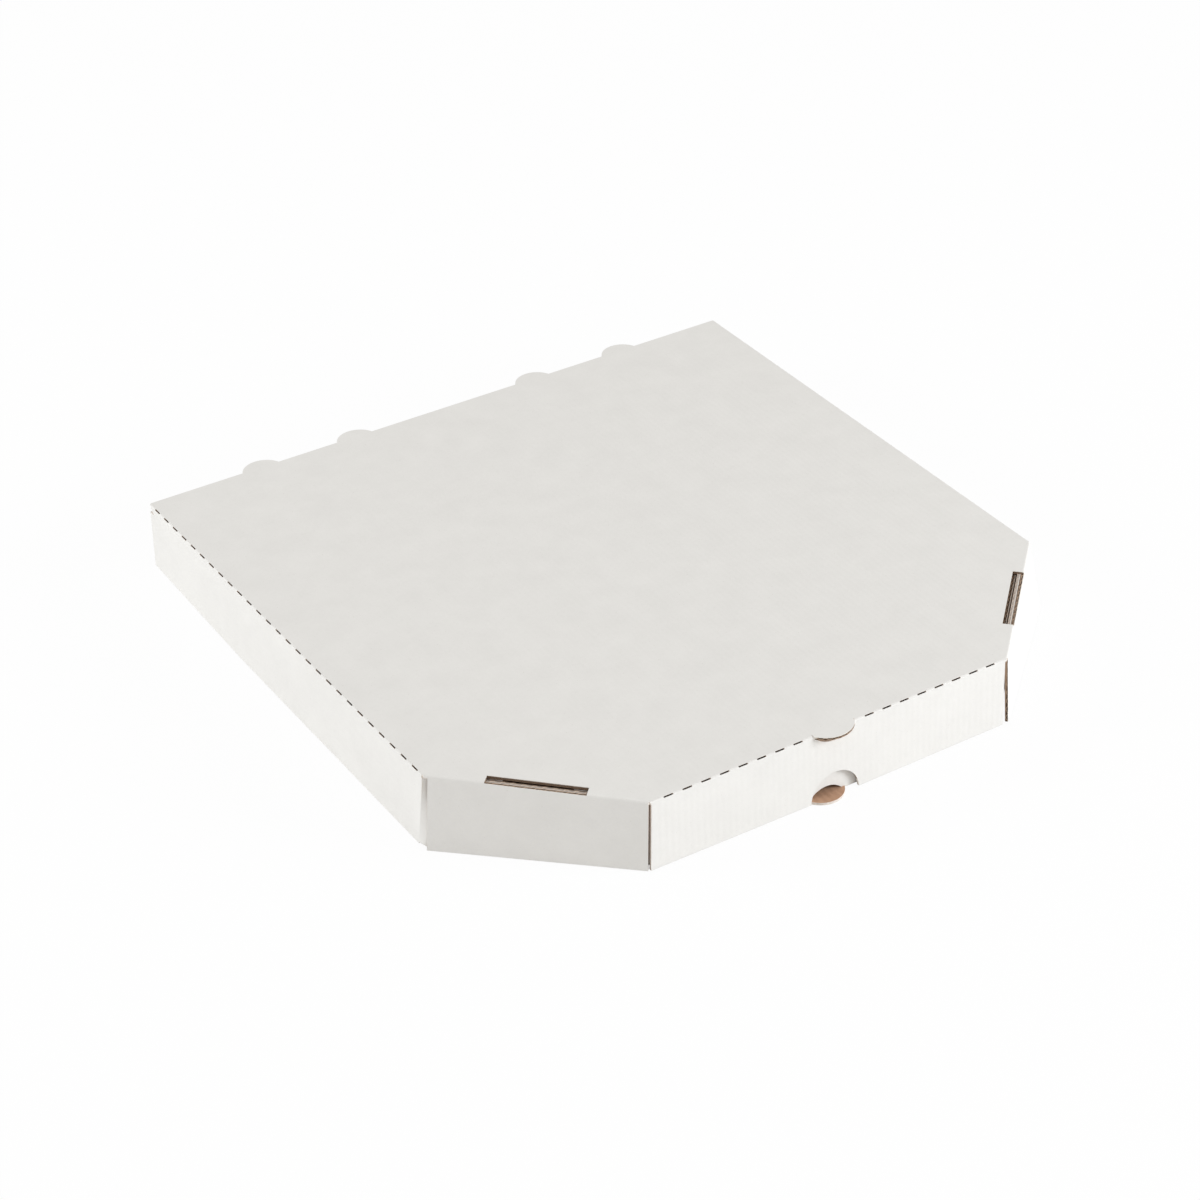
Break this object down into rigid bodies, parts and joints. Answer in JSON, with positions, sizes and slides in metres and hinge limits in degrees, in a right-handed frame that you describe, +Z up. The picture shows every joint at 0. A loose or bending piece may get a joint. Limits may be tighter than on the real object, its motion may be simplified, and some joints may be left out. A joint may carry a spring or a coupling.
{
  "type": "pizza box",
  "caption": "Closed die-cut box of thin fluted board with cut front corners, perforated lid creases, lugs locked in slots and half-moon tabs; the lid hinges on its back crease.",
  "frame": {"origin": "on the underside of the tray's floor, under the middle of the lid's panel", "axes": "+Z up, +Y from the front to the hinge at the back, +X to the right as seen from the front"},
  "size_m": [0.353, 0.362, 0.037],
  "materials": {
    "board": "matt white liner outside, brown kraft inside and at the raw edges"
  },
  "bodies": {
    "tray": {"tray": "board"},
    "lid": {"lid": "board"}
  },
  "joints": [
    {"name": "lid_hinge", "type": "hinge", "parent": "tray", "child": "lid", "pos_m": [0, 0.1745, 0.037], "axis": [-1, 0, 0], "range_deg": [0, 180]}
  ]
}
